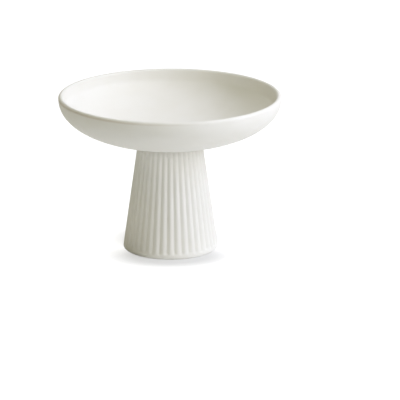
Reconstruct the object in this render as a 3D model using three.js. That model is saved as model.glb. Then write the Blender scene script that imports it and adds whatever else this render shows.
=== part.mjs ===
// Footed dessert bowl: a shallow round bowl, joined with slip to a hollow fluted pedestal.
// Millimetres, +Z up. The origin is on the standing surface, on the common axis, and -Y is the front.
import * as THREE from 'three';

// Overall sizes
const HEIGHT = 105;
const RIM_DIAMETER = 148;

// Bowl: the outside is a superellipse that starts level on the axis and ends upright under the lip.
// Inside, a short steep wall bends into a dished floor. The wall's lean and the slope of the floor's edge
// are in degrees.
const LIP_THICKNESS = 3.5;
const BELLY_DROP = 31.05;
const BELLY_POWER = 2.15;
const INSIDE_WALL_LENGTH = 4.7;
const INSIDE_WALL_LEAN = 8;
const INSIDE_BEND_RADIUS = 4.0;
const DISH_EDGE_SLOPE = 40;
const FLOOR_THICKNESS = 4.0;

// Pedestal: ridge-to-ridge diameters, and the wall from a ridge to the bore
const FOOT_DIAMETER = 63.7;
const NECK_DIAMETER = 43.0;
const PEDESTAL_WALL = 4.2;
const FOOT_OUTER_ROUND = 1.6;
const FOOT_INNER_ROUND = 0.8;

// Flutes: as deep at the neck as at the foot, with a ridge at the front.
// Across a groove the surface is at half depth at this share of the way to the ridge.
const FLUTE_COUNT = 39;
const FLUTE_DEPTH = 0.62;
const HALF_DEPTH_SHARE = 0.42;
const FLUTE_END_HEIGHT = 2.1;

// Slip joint and the locating ring that centres the bowl in it
const SLIP_THICKNESS = 0.8;
const SLIP_WIPED_BACK = 0.3;
const SEAT_MARGIN = 0.4;
const LOCATING_RING_HEIGHT = 3.0;
const LOCATING_RING_WALL = 3.0;
const LOCATING_CLEARANCE = 0.6;

// Fineness of the facets
const BOWL_SIDES = 72;
const BELLY_STEPS = 13;
const LIP_STEPS = 6;
const BEND_STEPS = 5;
const DISH_STEPS = 9;
const SIDES_PER_FLUTE = 6;
const FLUTE_END_STEPS = 4;
const FOOT_ROUND_STEPS = 2;

// Levels and radii that the pieces share
const rimRadius = RIM_DIAMETER / 2;
const neckRadius = NECK_DIAMETER / 2;
const footRadius = FOOT_DIAMETER / 2;
const lipRadius = LIP_THICKNESS / 2;
const lipLevel = HEIGHT - lipRadius;
const seatRadius = neckRadius + SEAT_MARGIN;
const seatLevel = lipLevel - BELLY_DROP * bellyFall(seatRadius / rimRadius);
const neckLevel = seatLevel - SLIP_THICKNESS;
const taper = (footRadius - neckRadius) / neckLevel;
const wallLean = THREE.MathUtils.degToRad(INSIDE_WALL_LEAN);

// Fall of a superellipse at a share of its radius: 1 on the axis, 0 at the rim
function bellyFall(share) {
  return (1 - share ** BELLY_POWER) ** (1 / BELLY_POWER);
}

// Points of the bowl's outside from the seat out to the rim, closer together where it bends upright
function bellyCurve() {
  const start = Math.asin((seatRadius / rimRadius) ** (BELLY_POWER / 2));
  const points = [];
  for (let step = 0; step <= BELLY_STEPS; step += 1) {
    const angle = start + (Math.PI / 2 - start) * (step / BELLY_STEPS);
    const share = Math.min(1, Math.sin(angle) ** (2 / BELLY_POWER));
    points.push(new THREE.Vector2(rimRadius * share, lipLevel - BELLY_DROP * bellyFall(share)));
  }
  return points;
}

// Points of the bowl's inside from the foot of the wall round the bend to the middle of the dished floor
function insideCurve(lipEnd) {
  const slope = THREE.MathUtils.degToRad(DISH_EDGE_SLOPE);
  const downWall = new THREE.Vector2(-Math.sin(wallLean), -Math.cos(wallLean));
  const offWall = new THREE.Vector2(-Math.cos(wallLean), Math.sin(wallLean));
  const centre = lipEnd.clone();
  centre.addScaledVector(downWall, INSIDE_WALL_LENGTH).addScaledVector(offWall, INSIDE_BEND_RADIUS);
  const points = arc(centre.x, centre.y, INSIDE_BEND_RADIUS, -wallLean, slope - Math.PI / 2, BEND_STEPS);
  const edge = points[BEND_STEPS];
  const floorLevel = seatLevel + FLOOR_THICKNESS;
  const dishDepth = edge.y - floorLevel;
  const dishPower = (Math.tan(slope) * edge.x) / dishDepth;
  for (let step = 1; step <= DISH_STEPS; step += 1) {
    const share = 1 - step / DISH_STEPS;
    points.push(new THREE.Vector2(edge.x * share, floorLevel + dishDepth * share ** dishPower));
  }
  return points;
}

// Points of an arc, ends included
function arc(centreRadius, centreLevel, radius, fromAngle, toAngle, steps) {
  const points = [];
  for (let step = 0; step <= steps; step += 1) {
    const angle = fromAngle + (toAngle - fromAngle) * (step / steps);
    const reach = new THREE.Vector2(Math.cos(angle), Math.sin(angle)).multiplyScalar(radius);
    points.push(reach.add(new THREE.Vector2(centreRadius, centreLevel)));
  }
  return points;
}

// A lathe about +Z whose first side faces the front
function turned(profile, sides) {
  return new THREE.LatheGeometry(profile, sides).rotateX(Math.PI / 2);
}

function ridgeRadius(level) {
  return footRadius - taper * level;
}

function boreRadius(level) {
  return ridgeRadius(level) - PEDESTAL_WALL;
}

const slipOuterRadius = neckRadius - FLUTE_DEPTH - SLIP_WIPED_BACK;
const slipInnerRadius = boreRadius(neckLevel) + SLIP_WIPED_BACK;

function bowlGeometry() {
  const ringOuter = slipInnerRadius - LOCATING_CLEARANCE;
  const ringInner = ringOuter - LOCATING_RING_WALL;
  const ringLevel = seatLevel - LOCATING_RING_HEIGHT;
  const underside = [
    new THREE.Vector2(0, seatLevel),
    new THREE.Vector2(ringInner, seatLevel),
    new THREE.Vector2(ringInner, ringLevel),
    new THREE.Vector2(ringOuter, ringLevel),
    new THREE.Vector2(ringOuter, seatLevel),
  ];
  const lip = arc(rimRadius - lipRadius, lipLevel, lipRadius, 0, Math.PI - wallLean, LIP_STEPS);
  const inside = insideCurve(lip[LIP_STEPS]);
  const profile = [...underside, ...bellyCurve(), ...lip.slice(1), ...inside];
  return turned(profile, BOWL_SIDES);
}

function slipJointGeometry() {
  const profile = [
    new THREE.Vector2(slipInnerRadius, neckLevel),
    new THREE.Vector2(slipOuterRadius, neckLevel),
    new THREE.Vector2(slipOuterRadius, seatLevel),
    new THREE.Vector2(slipInnerRadius, seatLevel),
    new THREE.Vector2(slipInnerRadius, neckLevel),
  ];
  return turned(profile, BOWL_SIDES);
}

// Flutes start in a round end half a pitch long and run up to the neck
const fluteEndLength = (Math.PI * footRadius) / FLUTE_COUNT;
const fluteEndCentre = FLUTE_END_HEIGHT + fluteEndLength;
const groovePower = -Math.LN2 / Math.log(HALF_DEPTH_SHARE);

// Depth of the flutes at a share of the turn from the front and at a level
function fluteDepth(turn, level) {
  const flutes = turn * FLUTE_COUNT + 1 / 2;
  const across = 2 * Math.abs(flutes - Math.round(flutes));
  const below = Math.max(0, (fluteEndCentre - level) / fluteEndLength);
  const offset = Math.min(1, Math.hypot(across, below));
  return (FLUTE_DEPTH * (1 + Math.cos(Math.PI * offset ** groovePower))) / 2;
}

function pedestalGeometry() {
  const lean = Math.atan(taper);
  const stretch = Math.hypot(1, taper);
  const outerRoundRadius = ridgeRadius(FOOT_OUTER_ROUND) - FOOT_OUTER_ROUND * stretch;
  const innerRoundRadius = boreRadius(FOOT_INNER_ROUND) + FOOT_INNER_ROUND * stretch;
  const down = -Math.PI / 2;
  const innerRound = arc(
    innerRoundRadius, FOOT_INNER_ROUND, FOOT_INNER_ROUND, lean - Math.PI, down, FOOT_ROUND_STEPS);
  const outerRound = arc(
    outerRoundRadius, FOOT_OUTER_ROUND, FOOT_OUTER_ROUND, down, lean, FOOT_ROUND_STEPS);
  const fluted = [];
  for (let step = 0; step <= FLUTE_END_STEPS; step += 1) {
    const level = FLUTE_END_HEIGHT + fluteEndLength * (step / FLUTE_END_STEPS);
    fluted.push(new THREE.Vector2(ridgeRadius(level), level));
  }
  fluted.push(new THREE.Vector2(neckRadius, neckLevel));
  const boreTop = new THREE.Vector2(boreRadius(neckLevel), neckLevel);
  const profile = [...innerRound, ...outerRound, ...fluted, boreTop, innerRound[0].clone()];

  // Press the flutes into the rows of the outside wall
  const sides = FLUTE_COUNT * SIDES_PER_FLUTE;
  const geometry = turned(profile, sides);
  const position = geometry.getAttribute('position');
  const firstRow = innerRound.length + outerRound.length;
  for (let side = 0; side <= sides; side += 1) {
    for (let row = firstRow; row < firstRow + fluted.length; row += 1) {
      const index = side * profile.length + row;
      const level = profile[row].y;
      const keep = 1 - fluteDepth(side / sides, level) / profile[row].x;
      position.setXY(index, position.getX(index) * keep, position.getY(index) * keep);
    }
  }
  geometry.computeVertexNormals();
  return geometry;
}

const glazedClay = { color: 0xecebe6, roughness: 0.45, metalness: 0 };
const bareSlip = { color: 0xe0d9ca, roughness: 0.85, metalness: 0 };

function piece(name, geometry, finish) {
  const mesh = new THREE.Mesh(geometry, new THREE.MeshStandardMaterial(finish));
  mesh.name = name;
  return mesh;
}

const footedBowl = new THREE.Group();
footedBowl.add(piece('bowl', bowlGeometry(), glazedClay));
footedBowl.add(piece('slip_joint', slipJointGeometry(), bareSlip));
footedBowl.add(piece('pedestal', pedestalGeometry(), glazedClay));

export default footedBowl;
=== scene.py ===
"""Looks of a footed dessert bowl: a matt ivory bowl on a hollow fluted pedestal.

Metres, +Z up, -Y to the front.
"""

import math

import bpy
import numpy as np
from mathutils import Matrix, Vector


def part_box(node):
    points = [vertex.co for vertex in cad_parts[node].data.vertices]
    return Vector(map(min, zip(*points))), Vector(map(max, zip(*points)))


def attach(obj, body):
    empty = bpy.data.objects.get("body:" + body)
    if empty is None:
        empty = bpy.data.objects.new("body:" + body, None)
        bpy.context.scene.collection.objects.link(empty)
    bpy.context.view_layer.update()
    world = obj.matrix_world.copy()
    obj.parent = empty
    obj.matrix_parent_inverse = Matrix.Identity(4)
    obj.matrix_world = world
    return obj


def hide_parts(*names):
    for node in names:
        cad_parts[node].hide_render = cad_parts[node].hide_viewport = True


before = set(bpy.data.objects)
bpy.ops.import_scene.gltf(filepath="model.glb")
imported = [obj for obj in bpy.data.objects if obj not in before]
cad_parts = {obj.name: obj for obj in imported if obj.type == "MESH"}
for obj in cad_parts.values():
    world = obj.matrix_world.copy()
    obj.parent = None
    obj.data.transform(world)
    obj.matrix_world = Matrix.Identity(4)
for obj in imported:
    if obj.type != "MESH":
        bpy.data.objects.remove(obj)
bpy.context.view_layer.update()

# Levels and radii read from the frame
rim_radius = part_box("bowl")[1].x
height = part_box("bowl")[1].z
neck_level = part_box("slip_joint")[0].z
seat_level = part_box("slip_joint")[1].z

# Bowl: a superellipse outside, a full round lip, and a short steep wall inside that bends into a dish
LIP_THICKNESS = 0.0035
BELLY_DROP = 0.03105
BELLY_POWER = 2.15
INSIDE_WALL = 0.0047
INSIDE_WALL_LEAN = math.radians(8)
INSIDE_BEND = 0.0040
DISH_EDGE_SLOPE = math.radians(40)
FLOOR_THICKNESS = 0.0040
BOWL_SIDES = 192
BELLY_ROWS = 40
LIP_ROWS = 14
INSIDE_WALL_ROWS = 4
BEND_ROWS = 12
DISH_ROWS = 24

# Locating ring under the bowl, inside the mouth of the pedestal
RING_OUTER_RADIUS = 0.0170
RING_WALL = 0.003
RING_HEIGHT = 0.003
RING_ROUND = 0.0006
RING_ROUND_ROWS = 4

# Pedestal
FOOT_RADIUS = 0.03185
NECK_RADIUS = 0.0215
PEDESTAL_WALL = 0.0042
FOOT_OUTER_ROUND = 0.0016
FOOT_INNER_ROUND = 0.0008
FOOT_ROUND_ROWS = 6
BORE_ROWS = 8

# Flutes: a ridge faces the front, and a groove is at half depth at this share of the way to its ridge
FLUTE_COUNT = 39
FLUTE_DEPTH = 0.00062
HALF_DEPTH_SHARE = 0.42
FLUTE_END_HEIGHT = 0.0021
FLUTE_SIDES = 18
FLUTE_END_ROWS = 14
FLUTE_RUN_ROWS = 10

# Slip joint: the flutes run on over it, into a small hollow round under the bowl
SLIP_INNER_RADIUS = 0.0176
SLIP_FLARE = 0.00035
SLIP_ROWS = 6

# Colours of the glaze and the clay, and of the shade painted on the lip
IVORY = (0.858, 0.844, 0.797)
IVORY_DEEP = (0.845, 0.829, 0.774)
LIP_SHADE_COLOUR = (0.70, 0.642, 0.565)
BARE_CLAY = (0.66, 0.59, 0.49)
SLIP_CLAY = (0.72, 0.67, 0.58)

# Faint clouds in the glaze, and their share of its deeper colour on the pedestal
CLOUDS_PER_METRE = 70
CLOUD_DETAIL = 3
CLOUD_EDGES = (0.3, 0.75)
CLOUD_SHARE = 0.6

# Fine eggshell grain of the surface, which stands out more on bare clay
GRAIN_PER_METRE = 1500
GRAIN_DETAIL = 2
GRAIN_DEPTH = 0.00002
BARE_GRAIN_EXTRA = 3

# Roughness of the glaze, and what its clouds, its grain and bare clay add
GLAZE_ROUGHNESS = 0.50
CLOUD_ROUGHNESS = 0.10
GRAIN_ROUGHNESS = 0.06
BARE_ROUGHNESS = 0.3

# Glaze pooled in the flutes: offsets in flutes from the ridge, where it starts and where it is deepest
POOL_EDGES = (0.1, 0.5)
POOL_SHARE = 0.5

# Shade painted on the left of the lip: levels about its middle, depth from the rim, places along X
LIP_SHADE_LEVELS = (-0.0008, 0.0004, 0.0015)
LIP_SHADE_DEPTH = 0.0008
LIP_SHADE_SIDE = (-0.055, 0.035)

# Share of the painted lip shade outside the clouds, and what the clouds add
LIP_SHADE_LEAST = 0.7
LIP_SHADE_CLOUDS = 0.4

# Bare clay: the wiped foot ring up to a wavering level, and the slip joint's inside to these depths
WIPED_LEVELS = (0.0002, 0.0004)
WIPED_WAVER = 0.0002
BARE_SLIP_DEPTHS = (0.001, 0.002)

# Camera: fitted to the outline of the object in the photograph
IMAGE_SIDE = 400
SENSOR_WIDTH = 36.0
CAMERA_DISTANCE = 2.0
CAMERA_RISE = math.radians(15.79)
CAMERA_ROLL = -0.0042
PIXELS_PER_METRE = 1498.6
MIDDLE_PIXEL = (170.27, 170.86)

# Floor: its colour in the light it sends back, the same by the foot's shaded side, and how it shows
FLOOR_SIDE = 4.0
FLOOR_COLOUR = (0.95, 0.95, 0.95)
FLOOR_SHADED = (0.30, 0.30, 0.30)
FLOOR_SHOWN = (0.28, 0.28, 0.28)
FLOOR_LIFT_NEAR = (0.51, 0.51, 0.51)

# Shade at the foot: a centre and a reach along each axis, and its two edges in shares of the reach
FRONT_SHADE = ((0.001, -0.023, 0), (0.041, 0.026, 1))
BACK_SHADE = ((0, 0.020, 0), (0.036, 0.034, 1))
LEFT_SHADE = ((-0.034, -0.018, 0), (0.016, 0.026, 1))
SHADE_EDGES = (0.50, 1.3)

# Light from the warm surroundings
SURROUNDINGS = (0.15, 0.146, 0.05)

# Lamps: turn from the front towards +X and rise above the floor in degrees, watts, colour
LAMP_DISTANCE = 1.2
LAMP_SIDE = 0.45
LAMPS = {
    "key_softbox": (75, 35, 5.5, (0.75, 0.795, 1.0)),
    "rear_side": (120, 50, 3.85, (0.805, 0.83, 1.0)),
    "low_side": (60, 20, 3.15, (0.975, 0.945, 1.0)),
    "low_front": (0, 5, 1.75, (0.775, 0.83, 1.0)),
    "high_front": (30, 65, 2.45, (0.925, 0.96, 1.0)),
    "left_fill": (-60, 50, 1.2, (1.0, 0.86, 0.74)),
    "rear_fill": (180, 50, 1.6, (0.84, 0.84, 1.0)),
}

# Plain colours of the stage
WHITE = (1, 1, 1)
BLACK = (0, 0, 0)

# Sizes that follow from these
lip_radius = LIP_THICKNESS / 2
lip_level = height - lip_radius
taper = (FOOT_RADIUS - NECK_RADIUS) / neck_level
pedestal_sides = FLUTE_COUNT * FLUTE_SIDES
flute_end_length = math.pi * FOOT_RADIUS / FLUTE_COUNT
flute_end_centre = FLUTE_END_HEIGHT + flute_end_length
groove_power = -math.log(2) / math.log(HALF_DEPTH_SHARE)
object_middle = Vector((0, 0, height / 2))


def add_object(name, data):
    """A new object in the scene for a mesh, a lamp or a camera."""
    made = bpy.data.objects.new(name, data)
    bpy.context.scene.collection.objects.link(made)
    return made


def arc(centre, radius, start, end, rows):
    """Points of an arc about (radius, level), ends included."""
    angles = np.linspace(start, end, rows + 1)
    return [(centre[0] + radius * math.cos(a), centre[1] + radius * math.sin(a)) for a in angles]


def belly_fall(share):
    """Fall of the bowl's superellipse at a share of its radius: 1 on the axis, 0 at the rim."""
    return max(0.0, 1 - share ** BELLY_POWER) ** (1 / BELLY_POWER)


def belly_curve(from_radius):
    """Points of the bowl's outside from a radius out to the rim, closest where it bends upright."""
    start = math.asin((from_radius / rim_radius) ** (BELLY_POWER / 2))
    points = []
    for angle in np.linspace(start, math.pi / 2, BELLY_ROWS + 1):
        share = min(1.0, math.sin(angle) ** (2 / BELLY_POWER))
        points.append((rim_radius * share, lip_level - BELLY_DROP * belly_fall(share)))
    return points


def inside_curve(lip_end):
    """Points of the bowl's inside from the end of the lip down to the middle of the dished floor."""
    across = math.sin(INSIDE_WALL_LEAN)
    upright = math.cos(INSIDE_WALL_LEAN)
    points = []
    for length in np.linspace(0, INSIDE_WALL, INSIDE_WALL_ROWS + 1)[1:]:
        points.append((lip_end[0] - length * across, lip_end[1] - length * upright))
    wall_radius, wall_level = points[-1]
    centre = (wall_radius - INSIDE_BEND * upright, wall_level + INSIDE_BEND * across)
    points += arc(centre, INSIDE_BEND, -INSIDE_WALL_LEAN, DISH_EDGE_SLOPE - math.pi / 2, BEND_ROWS)[1:]
    edge_radius, edge_level = points[-1]
    floor_level = seat_level + FLOOR_THICKNESS
    dish_depth = edge_level - floor_level
    dish_power = math.tan(DISH_EDGE_SLOPE) * edge_radius / dish_depth
    for share in np.linspace(1, 0, DISH_ROWS + 1)[1:]:
        points.append((edge_radius * share, floor_level + dish_depth * share ** dish_power))
    return points


def ridge_radius(level):
    """Radius of the pedestal at a level, on a ridge."""
    return FOOT_RADIUS - taper * level


def bore_radius(level):
    """Radius of the pedestal's hollow at a level."""
    return ridge_radius(level) - PEDESTAL_WALL


def turned(name, profile, sides, closed):
    """A piece turned about +Z from (radius, level) points.

    Its profile is closed on itself, or starts and ends on the axis.
    """
    turns = np.linspace(0, 2 * math.pi, sides, endpoint=False)
    points = []
    rings = []
    for radius, level in profile:
        count = 1 if radius == 0 else sides
        rings.append(range(len(points), len(points) + count))
        points.extend((radius * math.sin(t), -radius * math.cos(t), level) for t in turns[:count])
    pairs = list(zip(rings, rings[1:]))
    if closed:
        pairs.append((rings[-1], rings[0]))
    faces = []
    for lower, upper in pairs:
        for side in range(sides):
            after = (side + 1) % sides
            corners = [lower[side % len(lower)], lower[after % len(lower)],
                       upper[after % len(upper)], upper[side % len(upper)]]
            faces.append(list(dict.fromkeys(corners)))
    mesh = bpy.data.meshes.new(name)
    mesh.from_pydata(points, [], faces)
    mesh.shade_smooth()
    return add_object(name, mesh)


def make_bowl():
    """The bowl, from the middle of its underside round the lip to the middle of its floor."""
    ring_inner = RING_OUTER_RADIUS - RING_WALL
    ring_level = seat_level - RING_HEIGHT
    bend = RING_ROUND
    half = math.pi / 2
    underside = [(0.0, seat_level), (ring_inner / 2, seat_level)]
    underside += arc((ring_inner - bend, seat_level - bend), bend, half, 0, RING_ROUND_ROWS)
    underside += arc((ring_inner + bend, ring_level + bend), bend, math.pi, 3 * half, RING_ROUND_ROWS)
    underside += arc((RING_OUTER_RADIUS - bend, ring_level + bend), bend, -half, 0, RING_ROUND_ROWS)
    underside.append((RING_OUTER_RADIUS, seat_level))
    seat_radius = rim_radius * belly_fall((lip_level - seat_level) / BELLY_DROP)
    lip_centre = (rim_radius - lip_radius, lip_level)
    lip = arc(lip_centre, lip_radius, 0, math.pi - INSIDE_WALL_LEAN, LIP_ROWS)
    profile = underside + belly_curve(seat_radius) + lip[1:] + inside_curve(lip[-1])
    return turned("ivory_bowl", profile, BOWL_SIDES, closed=False)


def flute_depth(turn, level):
    """Depth of the flutes at a share of the turn from the front and at a level."""
    flutes = turn * FLUTE_COUNT + 0.5
    across = 2 * abs(flutes - round(flutes))
    below = max(0.0, (flute_end_centre - level) / flute_end_length)
    offset = min(1.0, math.hypot(across, below))
    share = (1 + math.cos(math.pi * offset ** groove_power)) / 2
    return FLUTE_DEPTH * share


def press_flutes(piece, profile, rows):
    """Presses the flutes into some rows of a turned piece."""
    for row in rows:
        radius, level = profile[row]
        for side in range(pedestal_sides):
            vertex = piece.data.vertices[row * pedestal_sides + side]
            keep = 1 - flute_depth(side / pedestal_sides, level) / radius
            vertex.co = (vertex.co.x * keep, vertex.co.y * keep, level)


def make_pedestal():
    """The hollow pedestal, with its flutes pressed into the outside."""
    lean = math.atan(taper)
    stretch = math.hypot(1, taper)
    down = -math.pi / 2
    inner_centre = (bore_radius(FOOT_INNER_ROUND) + FOOT_INNER_ROUND * stretch, FOOT_INNER_ROUND)
    outer_centre = (ridge_radius(FOOT_OUTER_ROUND) - FOOT_OUTER_ROUND * stretch, FOOT_OUTER_ROUND)
    profile = arc(inner_centre, FOOT_INNER_ROUND, lean - math.pi, down, FOOT_ROUND_ROWS)
    profile += arc(outer_centre, FOOT_OUTER_ROUND, down, lean, FOOT_ROUND_ROWS)
    first_fluted = len(profile)
    levels = list(np.linspace(FLUTE_END_HEIGHT, flute_end_centre, FLUTE_END_ROWS + 1))
    levels += list(np.linspace(flute_end_centre, neck_level, FLUTE_RUN_ROWS + 1))[1:]
    profile += [(ridge_radius(level), level) for level in levels]
    after_fluted = len(profile)
    bore_levels = np.linspace(neck_level, FOOT_INNER_ROUND, BORE_ROWS)[:-1]
    profile += [(bore_radius(level), level) for level in bore_levels]
    piece = turned("fluted_pedestal", profile, pedestal_sides, closed=True)
    press_flutes(piece, profile, range(first_fluted, after_fluted))
    return piece


def make_slip_joint():
    """The ring of joining slip: the flutes run on over it and flare a little under the bowl."""
    profile = [(SLIP_INNER_RADIUS, seat_level), (SLIP_INNER_RADIUS, neck_level)]
    first_fluted = len(profile)
    for angle in np.linspace(0, math.pi / 2, SLIP_ROWS + 1):
        flare = SLIP_FLARE * (1 - math.cos(angle))
        profile.append((NECK_RADIUS + flare, neck_level + (seat_level - neck_level) * math.sin(angle)))
    piece = turned("slip_joint_ring", profile, pedestal_sides, closed=True)
    press_flutes(piece, profile, range(first_fluted, len(profile)))
    return piece


class Wire:
    """A socket in a material, so that shader maths is written as Python expressions."""

    def __init__(self, tree, socket=None):
        self.tree = tree
        self.socket = socket

    def node(self, kind, settings, sockets, output=0):
        """Any node: its settings are set first, then the values or links of its sockets."""
        made = self.tree.nodes.new(kind)
        for name, value in settings.items():
            setattr(made, name, value)
        for name, value in sockets.items():
            if isinstance(value, Wire):
                self.tree.links.new(value.socket, made.inputs[name])
            else:
                made.inputs[name].default_value = value
        return Wire(self.tree, made.outputs[output])

    def maths(self, operation, first, second=0.0):
        return self.node("ShaderNodeMath", {"operation": operation}, {0: first, 1: second})

    def __add__(self, other):
        return self.maths("ADD", self, other)

    def __radd__(self, other):
        return self.maths("ADD", other, self)

    def __sub__(self, other):
        return self.maths("SUBTRACT", self, other)

    def __rsub__(self, other):
        return self.maths("SUBTRACT", other, self)

    def __mul__(self, other):
        return self.maths("MULTIPLY", self, other)

    def __rmul__(self, other):
        return self.maths("MULTIPLY", other, self)

    def vector(self, operation, second):
        """Vector maths on this place and another vector."""
        return self.node("ShaderNodeVectorMath", {"operation": operation}, {0: self, 1: second})

    def length(self):
        """Length of a vector."""
        return self.node("ShaderNodeVectorMath", {"operation": "LENGTH"}, {0: self}, output="Value")

    def axis(self, name):
        """One of the three coordinates of a place."""
        return self.node("ShaderNodeSeparateXYZ", {}, {"Vector": self}, output=name)

    def noise(self, scale, detail):
        """Noise over the object, 0 to 1, with this many features to the metre."""
        return self.node("ShaderNodeTexNoise", {}, {"Vector": self, "Scale": scale, "Detail": detail})

    def step(self, low, high):
        """0 below low and 1 above high, with a soft change between."""
        settings = {"interpolation_type": "SMOOTHSTEP"}
        sockets = {"Value": self, "From Min": low, "From Max": high}
        return self.node("ShaderNodeMapRange", settings, sockets)

    def tint(self, first, second):
        """A colour between two colours, by this mask."""
        # Inputs 6 and 7 and output 2 are the node's colours
        sockets = {0: self, 6: first, 7: second}
        return self.node("ShaderNodeMix", {"data_type": "RGBA"}, sockets, output=2)


def rgba(colour):
    return (*colour, 1.0)


def feed(shader, wires):
    """Links wires to a shader's sockets by their names."""
    for name, wire in wires.items():
        wire.tree.links.new(wire.socket, shader.inputs[name])


def new_material(name):
    """A new material, its shader and the object's own coordinates."""
    material = bpy.data.materials.new(name)
    material.use_nodes = True
    tree = material.node_tree
    place = Wire(tree).node("ShaderNodeTexCoord", {}, {}, output="Object")
    return material, tree.nodes["Principled BSDF"], place


def new_glaze(name):
    """A new material for glazed clay, with the clouds and the grain of its surface."""
    material, shader, place = new_material(name)
    clouds = place.noise(CLOUDS_PER_METRE, CLOUD_DETAIL)
    grain = place.noise(GRAIN_PER_METRE, GRAIN_DETAIL)
    return material, shader, place, clouds, grain


def glaze_roughness(clouds, grain):
    return GLAZE_ROUGHNESS + CLOUD_ROUGHNESS * clouds + GRAIN_ROUGHNESS * grain


def set_surface(shader, colour, roughness, relief):
    """Feeds a finish's colour, roughness and fine relief to its shader."""
    sockets = {"Height": relief, "Distance": GRAIN_DEPTH, "Strength": 1.0}
    bump = relief.node("ShaderNodeBump", {}, sockets)
    feed(shader, {"Base Color": colour, "Roughness": roughness, "Normal": bump})


def set_part_glazed(shader, clouds, grain, pooled, bare):
    """Cloudy glaze, deeper where it pooled, and rough dull clay where it is bare."""
    deep = CLOUD_SHARE * clouds.step(*CLOUD_EDGES) + POOL_SHARE * pooled
    glaze = deep.tint(rgba(IVORY), rgba(IVORY_DEEP))
    clay = grain.tint(rgba(BARE_CLAY), rgba(SLIP_CLAY))
    colour = bare.tint(glaze, clay)
    roughness = glaze_roughness(clouds, grain) + BARE_ROUGHNESS * bare
    set_surface(shader, colour, roughness, grain * (1 + BARE_GRAIN_EXTRA * bare))


def from_axis(place):
    """Distance of a place from the object's axis."""
    return place.vector("MULTIPLY", (1, 1, 0)).length()


def in_flutes(place):
    """1 along the middle of each flute, 0 on the ridges between them."""
    turn = place.maths("ARCTAN2", place.axis("X"), 0 - place.axis("Y"))
    flutes = place.maths("FRACT", turn * (FLUTE_COUNT / (2 * math.pi)) + 0.5)
    return place.maths("ABSOLUTE", flutes - 0.5).step(*POOL_EDGES)


def ivory_glaze():
    """Matt ivory glaze on the bowl: faint clouds, fine grain, and shade painted on the left of the lip."""
    material, shader, place, clouds, grain = new_glaze("ivory_glaze")
    level = place.axis("Z")
    low, middle, high = (lip_level + offset for offset in LIP_SHADE_LEVELS)
    edge = level.step(low, middle) - level.step(middle, high)
    outside = from_axis(place).step(rim_radius - 2 * LIP_SHADE_DEPTH, rim_radius - LIP_SHADE_DEPTH)
    left = 1 - place.axis("X").step(*LIP_SHADE_SIDE)
    # Painted shade: a darker, browner band round the outer edge of the lip, on its left side only
    painted_lip_shade = edge * outside * left * (LIP_SHADE_LEAST + LIP_SHADE_CLOUDS * clouds)
    glaze = clouds.step(*CLOUD_EDGES).tint(rgba(IVORY), rgba(IVORY_DEEP))
    colour = painted_lip_shade.tint(glaze, rgba(LIP_SHADE_COLOUR))
    set_surface(shader, colour, glaze_roughness(clouds, grain), grain)
    return material


def pedestal_glaze():
    """The same glaze on the pedestal, wiped off the foot ring down to the bare clay."""
    material, shader, place, clouds, grain = new_glaze("pedestal_glaze")
    level = place.axis("Z")
    pooled = in_flutes(place) * level.step(FLUTE_END_HEIGHT, flute_end_centre)
    bare = 1 - (level + WIPED_WAVER * clouds).step(*WIPED_LEVELS)
    set_part_glazed(shader, clouds, grain, pooled, bare)
    return material


def joining_slip():
    """Dull fired slip inside the pedestal, under the same glaze outside."""
    material, shader, place, clouds, grain = new_glaze("joining_slip")
    start, end = (SLIP_INNER_RADIUS + depth for depth in BARE_SLIP_DEPTHS)
    bare = 1 - from_axis(place).step(start, end)
    set_part_glazed(shader, clouds, grain, in_flutes(place), bare)
    return material


def dress(piece, material, node):
    """Puts a finished piece in the place of its CAD node."""
    piece.data.materials.append(material)
    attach(piece, "root")
    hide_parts(node)


def sees_background(tree):
    """1 for rays that see the white background: from the camera, in gloss or through glass."""
    names = ("Is Camera Ray", "Is Glossy Ray", "Is Transmission Ray")
    camera, glossy, glass = (Wire(tree).node("ShaderNodeLightPath", {}, {}, output=name) for name in names)
    return camera.maths("MINIMUM", camera + glossy + glass, 1.0)


def make_surroundings():
    """Warm dim surroundings that show as white."""
    world = bpy.data.worlds.new("studio")
    bpy.context.scene.world = world
    world.use_nodes = True
    tree = world.node_tree
    colour = sees_background(tree).tint(rgba(SURROUNDINGS), rgba(WHITE))
    feed(tree.nodes["Background"], {"Color": colour})


def spread_from(place, centre, reach):
    """Distance of a place from a centre, in shares of a reach along each axis."""
    return place.vector("SUBTRACT", centre).vector("DIVIDE", reach).length()


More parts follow.
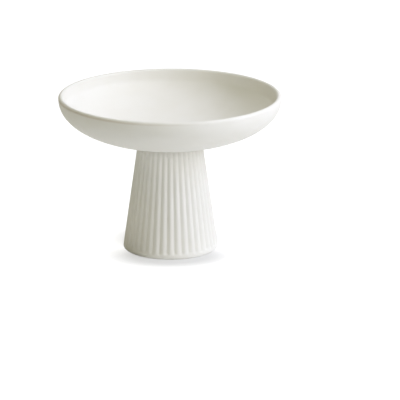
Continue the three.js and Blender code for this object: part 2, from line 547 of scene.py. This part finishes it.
def make_floor():
    """A pale floor, lifted to white where it shows, except in the contact shade at the foot.

    By the shaded side of the foot it sends back less light.
    """
    half = FLOOR_SIDE / 2
    corners = [(-half, -half, 0), (half, -half, 0), (half, half, 0), (-half, half, 0)]
    mesh = bpy.data.meshes.new("floor")
    mesh.from_pydata(corners, [], [(0, 1, 2, 3)])
    floor = add_object("floor", mesh)
    material, shader, place = new_material("pale_floor")
    shader.inputs["Roughness"].default_value = 1.0
    shader.inputs["Specular IOR Level"].default_value = 0.0
    shader.inputs["Emission Strength"].default_value = 1.0
    seen = sees_background(material.node_tree)
    contact = place.maths("MINIMUM", spread_from(place, *FRONT_SHADE), spread_from(place, *BACK_SHADE))
    lift = contact.step(*SHADE_EDGES).tint(rgba(FLOOR_LIFT_NEAR), rgba(WHITE))
    open_side = spread_from(place, *LEFT_SHADE).step(*SHADE_EDGES)
    sent_back = open_side.tint(rgba(FLOOR_SHADED), rgba(FLOOR_COLOUR))
    colour = seen.tint(sent_back, rgba(FLOOR_SHOWN))
    feed(shader, {"Base Color": colour, "Emission Color": seen.tint(rgba(BLACK), lift)})
    mesh.materials.append(material)


def make_lamp(name, turn, rise, watts, colour):
    """A square soft lamp that faces the middle of the object."""
    turn = math.radians(turn)
    rise = math.radians(rise)
    away = Vector((math.sin(turn) * math.cos(rise), -math.cos(turn) * math.cos(rise), math.sin(rise)))
    data = bpy.data.lights.new(name, "AREA")
    data.size = LAMP_SIDE
    data.energy = watts
    data.color = colour
    facing = away.to_track_quat("Z", "Y").to_matrix().to_4x4()
    lamp = add_object(name, data)
    lamp.matrix_world = Matrix.Translation(object_middle + away * LAMP_DISTANCE) @ facing


def make_camera():
    """The photograph's view: aimed so that the middle of the object falls on its pixel."""
    back = Vector((0, -math.cos(CAMERA_RISE), math.sin(CAMERA_RISE)))
    spot = object_middle + back * CAMERA_DISTANCE
    level = Vector((1, 0, 0))
    right = level * math.cos(CAMERA_ROLL) + back.cross(level) * math.sin(CAMERA_ROLL)
    up = back.cross(right)
    across = (IMAGE_SIDE / 2 - MIDDLE_PIXEL[0]) / PIXELS_PER_METRE
    down = (IMAGE_SIDE / 2 - MIDDLE_PIXEL[1]) / PIXELS_PER_METRE
    aim = object_middle + right * across - up * down
    back = (spot - aim).normalized()
    right = (right - back * right.dot(back)).normalized()
    up = back.cross(right)
    data = bpy.data.cameras.new("camera")
    data.sensor_width = SENSOR_WIDTH
    data.lens = PIXELS_PER_METRE * CAMERA_DISTANCE * SENSOR_WIDTH / IMAGE_SIDE
    facing = Matrix((right, up, back)).transposed().to_4x4()
    camera = add_object("camera", data)
    camera.matrix_world = Matrix.Translation(spot) @ facing
    bpy.context.scene.camera = camera


# The object
dress(make_bowl(), ivory_glaze(), "bowl")
dress(make_pedestal(), pedestal_glaze(), "pedestal")
dress(make_slip_joint(), joining_slip(), "slip_joint")

# The stage
make_surroundings()
make_floor()
for lamp_name, lamp_facts in LAMPS.items():
    make_lamp(lamp_name, *lamp_facts)
make_camera()
bpy.context.scene.view_settings.view_transform = "Standard"
